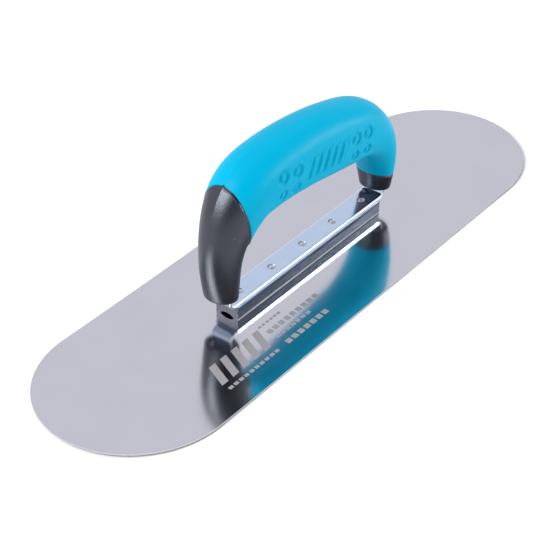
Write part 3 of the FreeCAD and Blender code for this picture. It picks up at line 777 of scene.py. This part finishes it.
def pressed_tree():
    """Presses dots into the sides and lifts bars out of them, by how far each point is from one."""
    sockets = [("Dots", "NodeSocketObject"), ("Bars", "NodeSocketObject"), ("Depth", "NodeSocketFloat"),
               ("Rise", "NodeSocketFloat"), ("Slant", "NodeSocketFloat"), ("Finish", "NodeSocketMaterial")]
    tree, given, result = node_tree("pressed_relief", sockets)
    position = add(tree, "GeometryNodeInputPosition")
    parts = add(tree, "ShaderNodeSeparateXYZ", [position])
    flat = add(tree, "ShaderNodeCombineXYZ", [parts.outputs[0], 0.0, parts.outputs[2]])
    normal = add(tree, "GeometryNodeInputNormal")
    sideways = add(tree, "ShaderNodeSeparateXYZ", [normal]).outputs[1]
    facing = add(tree, "ShaderNodeMath", [sideways], operation="ABSOLUTE")
    on_side = add(tree, "ShaderNodeMapRange", [facing, 0.55, 0.75, 0.0, 1.0])
    # How far each point of the side is from the nearest dot and bar, and what those carry.
    away, says = {}, {}
    for label, numbers in (("Dots", ["radius"]), ("Bars", ["half_wide", "half_high"])):
        points = add(tree, "GeometryNodeObjectInfo", {"Object": given.outputs[label]}).outputs["Geometry"]
        wanted = {"Geometry": points, "Sample Position": flat}
        nearest = add(tree, "GeometryNodeSampleNearest", wanted, domain="POINT")
        wanted = {"Geometry": points, "Value": position, "Index": nearest}
        place = add(tree, "GeometryNodeSampleIndex", wanted, data_type="FLOAT_VECTOR")
        away[label] = add(tree, "ShaderNodeVectorMath", [flat, place], operation="SUBTRACT")
        for number in numbers:
            carried = add(tree, "GeometryNodeInputNamedAttribute", {"Name": number}, data_type="FLOAT")
            wanted = {"Geometry": points, "Value": carried, "Index": nearest}
            says[number] = add(tree, "GeometryNodeSampleIndex", wanted, data_type="FLOAT")
    # A dot is a round hollow with a low button standing in it.
    squashed = add(tree, "ShaderNodeVectorMath", [away["Dots"], (1.0, 1.0, DOT_SQUASH)], operation="MULTIPLY")
    apart = add(tree, "ShaderNodeVectorMath", [squashed], operation="LENGTH").outputs["Value"]
    share = add(tree, "ShaderNodeMath", [apart, says["radius"]], operation="DIVIDE")
    hollow = add(tree, "ShaderNodeMapRange", [share, 0.87, 1.0, -1.0, 0.0], interpolation_type="SMOOTHERSTEP")
    button = add(
        tree, "ShaderNodeMapRange", [share, 0.38, 0.55, 0.85, 0.0], interpolation_type="SMOOTHERSTEP"
    )
    pressing = add(tree, "ShaderNodeMath", [hollow, button], operation="ADD")
    dot = add(tree, "ShaderNodeMath", [pressing, given.outputs["Depth"]], operation="MULTIPLY")
    # A bar is a slanted oblong that stands out, with a fine groove pressed round it.
    off = add(tree, "ShaderNodeSeparateXYZ", [away["Bars"]])
    lean = add(tree, "ShaderNodeMath", [off.outputs[2], given.outputs["Slant"]], operation="MULTIPLY")
    leaned = add(tree, "ShaderNodeMath", [off.outputs[0], lean], operation="SUBTRACT")
    across = add(tree, "ShaderNodeMath", [leaned], operation="ABSOLUTE")
    upwards = add(tree, "ShaderNodeMath", [off.outputs[2]], operation="ABSOLUTE")
    beyond_x = add(tree, "ShaderNodeMath", [across, says["half_wide"]], operation="SUBTRACT")
    beyond_z = add(tree, "ShaderNodeMath", [upwards, says["half_high"]], operation="SUBTRACT")
    beyond = add(tree, "ShaderNodeMath", [beyond_x, beyond_z], operation="MAXIMUM")
    shoulder = [beyond, -BAR_SHOULDER * MM, 0.0, 1.0, 0.0]
    raised = add(tree, "ShaderNodeMapRange", shoulder, interpolation_type="SMOOTHERSTEP")
    past_moat = add(tree, "ShaderNodeMath", [beyond, BAR_MOAT * MM], operation="SUBTRACT")
    from_moat = add(tree, "ShaderNodeMath", [past_moat], operation="ABSOLUTE")
    ditch = [from_moat, 0.0, BAR_MOAT_HALF * MM, -0.6, 0.0]
    moat = add(tree, "ShaderNodeMapRange", ditch, interpolation_type="SMOOTHERSTEP")
    standing = add(tree, "ShaderNodeMath", [raised, moat], operation="ADD")
    bar = add(tree, "ShaderNodeMath", [standing, given.outputs["Rise"]], operation="MULTIPLY")
    relief = add(tree, "ShaderNodeMath", [dot, bar], operation="ADD")
    height = add(tree, "ShaderNodeMath", [relief, on_side], operation="MULTIPLY")
    move = add(tree, "ShaderNodeVectorMath", {0: normal, 3: height}, operation="SCALE")
    pressed = add(tree, "GeometryNodeSetPosition", {"Geometry": given, "Offset": move})
    smooth_faces = add(tree, "GeometryNodeSetShadeSmooth", [pressed])
    done = add(
        tree, "GeometryNodeSetMaterial", {"Geometry": smooth_faces, "Material": given.outputs["Finish"]}
    )
    tree.links.new(done.outputs[0], result.inputs[0])
    return tree


def soft_rubber():
    """Soft moulded thermoplastic rubber: deep clear blue, dull, its fine grain breaking up the light."""
    made, tree, shader = finish_of("soft_rubber", IOR=1.48, Specular_IOR_Level=0.05)
    where = add(tree, "ShaderNodeTexCoord").outputs["Object"]
    patches = add(
        tree, "ShaderNodeTexNoise", {"Vector": where, "Scale": 1 / (RUBBER_PATCH * MM), "Detail": 3.0}
    )
    colour = add(
        tree, "ShaderNodeMix", {0: patches, 6: linear("#009BBD"), 7: linear("#00A2C5")}, data_type="RGBA"
    )
    tree.links.new(colour.outputs[2], shader.inputs["Base Color"])
    fine = add(tree, "ShaderNodeTexNoise", {"Vector": where, "Scale": 1 / (RUBBER_GRAIN * MM), "Detail": 3.0})
    rough = add(tree, "ShaderNodeMapRange", [fine, 0.3, 0.7, 0.30, 0.42])
    tree.links.new(rough.outputs[0], shader.inputs["Roughness"])
    bump = add(tree, "ShaderNodeBump", {"Strength": 0.45, "Distance": 0.1 * MM, "Height": fine})
    tree.links.new(bump.outputs[0], shader.inputs["Normal"])
    return made


rubber = soft_rubber()
plain_sleeve = skin_mesh("plain_sleeve", sleeve_rings(), rubber, False)
dot_places = [(x, 0, z) for x, z, wide in DOTS]
dot_radii = [wide / 2 * MM for x, z, wide in DOTS]
dot_points = put("dot_points", points_mesh("dot_points", dot_places, radius=dot_radii))
bar_points = put("bar_points", points_mesh(
    "bar_points",
    [(x, 0, z) for x, z in BARS],
    half_wide=[BAR_HALF[0] * MM] * len(BARS),
    half_high=[BAR_HALF[1] * MM] * len(BARS),
))
sleeve = grow("grip_sleeve_skin", plain_sleeve.data, pressed_tree(), {
    "Dots": dot_points, "Bars": bar_points, "Depth": DOT_DEPTH * MM,
    "Rise": BAR_RISE * MM, "Slant": BAR_SLANT, "Finish": rubber,
})
for helper in (plain_sleeve, dot_points, bar_points):
    bpy.data.objects.remove(helper)
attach(sleeve, "root")
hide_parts("grip_sleeve")


# ---- floor, light and camera -------------------------------------------------------------------
# A white table in a pale, slightly cool room. A soft box stands high beyond the black leg's end and
# a long low one off the +X, -Y corner. The camera looks down on the black leg from its -Y side.
TABLE_CLOUD = 40.0
TABLE_REACH = 4.0
TABLE_TOP = -0.0003


def white_table():
    """White laminate table top: matt, all but even."""
    made, tree, shader = finish_of("white_table", Roughness=0.9)
    where = add(tree, "ShaderNodeTexCoord").outputs["Object"]
    clouds = add(
        tree, "ShaderNodeTexNoise", {"Vector": where, "Scale": 1 / (TABLE_CLOUD * MM), "Detail": 2.0}
    )
    colour = add(
        tree, "ShaderNodeMix", {0: clouds, 6: linear("#E9E9E9"), 7: linear("#EDEDED")}, data_type="RGBA"
    )
    tree.links.new(colour.outputs[2], shader.inputs["Base Color"])
    return made


floor_mesh = bpy.data.meshes.new("floor")
corners = [(x * TABLE_REACH, y * TABLE_REACH, TABLE_TOP) for x, y in ((-1, -1), (1, -1), (1, 1), (-1, 1))]
floor_mesh.from_pydata(corners, [], [(0, 1, 2, 3)])
floor_mesh.materials.append(white_table())
put("floor", floor_mesh)

world = bpy.data.worlds.new("studio")
world.use_nodes = True
sky = world.node_tree
direction = add(sky, "ShaderNodeSeparateXYZ", [add(sky, "ShaderNodeTexCoord").outputs["Generated"]])
up_wall = [direction.outputs[2], 0.22, 0.42, 0.0, 1.0]
height = add(sky, "ShaderNodeMapRange", up_wall, interpolation_type="SMOOTHSTEP")
wall = add(sky, "ShaderNodeMix", {0: height, 6: linear("#FFFFFF"), 7: linear("#F4F4FF")}, data_type="RGBA")
# The room's -Y side is dim, and dimmer still higher up, but for a paler stretch in its middle.
dim = add(sky, "ShaderNodeMapRange", [direction.outputs[2], 0.22, 0.44, 0.50, 0.11])
into_dim = [direction.outputs[1], -0.05, -0.35, 0.0, 1.0]
in_dim = add(sky, "ShaderNodeMapRange", into_dim, interpolation_type="SMOOTHSTEP")
walls = add(sky, "ShaderNodeMix", [in_dim, None, 1.0, dim])
ceiling = add(sky, "ShaderNodeMapRange", [direction.outputs[2], 0.74, 0.86, 0.0, 0.2])
into_paler = [direction.outputs[1], -0.72, -0.88, 0.0, 0.28]
paler = add(sky, "ShaderNodeMapRange", into_paler, interpolation_type="SMOOTHSTEP")
lit = add(sky, "ShaderNodeMath", [walls, ceiling], operation="ADD")
strength = add(sky, "ShaderNodeMath", [lit, paler], operation="ADD")
background = sky.nodes["Background"]
sky.links.new(wall.outputs[2], background.inputs["Color"])
sky.links.new(strength.outputs[0], background.inputs["Strength"])
bpy.context.scene.world = world


def soft_box(name, place, width, height, power):
    """A rectangular soft light at a place, turned to the trowel."""
    light = bpy.data.lights.new(name, "AREA")
    light.shape = "RECTANGLE"
    light.size, light.size_y = width, height
    light.energy = power
    made = put(name, light)
    made.location = place
    made.rotation_euler = (Vector((0, 0, 0.05)) - made.location).to_track_quat("-Z", "Y").to_euler()


soft_box("key_box", (-1.12, 0.26, 1.05), 0.6, 1.0, 22)
soft_box("low_box", (1.0, -1.1, 0.30), 1.2, 0.14, 18)

# Where the camera aims, how far round and up it stands, its distance and its lens.
AIM = Vector((-18.94, 2.48, 0.21)) * MM
ROUND_BY = math.radians(-52.10)
UP_BY = math.radians(36.53)
TILT = math.radians(0.309)
DISTANCE = 0.8276
SENSOR = 36
LENS_OVER_FRAME = 2.908
level = math.cos(UP_BY)
back = Vector((math.sin(ROUND_BY) * level, -math.cos(ROUND_BY) * level, math.sin(UP_BY)))
camera_data = bpy.data.cameras.new("camera")
camera_data.sensor_width = SENSOR
camera_data.lens = SENSOR * LENS_OVER_FRAME
camera = put("camera", camera_data)
camera.location = AIM + back * DISTANCE
camera.rotation_mode = "QUATERNION"
camera.rotation_quaternion = Quaternion(back, TILT) @ back.to_track_quat("Z", "Y")
bpy.context.scene.camera = camera
bpy.context.scene.view_settings.view_transform = "Standard"
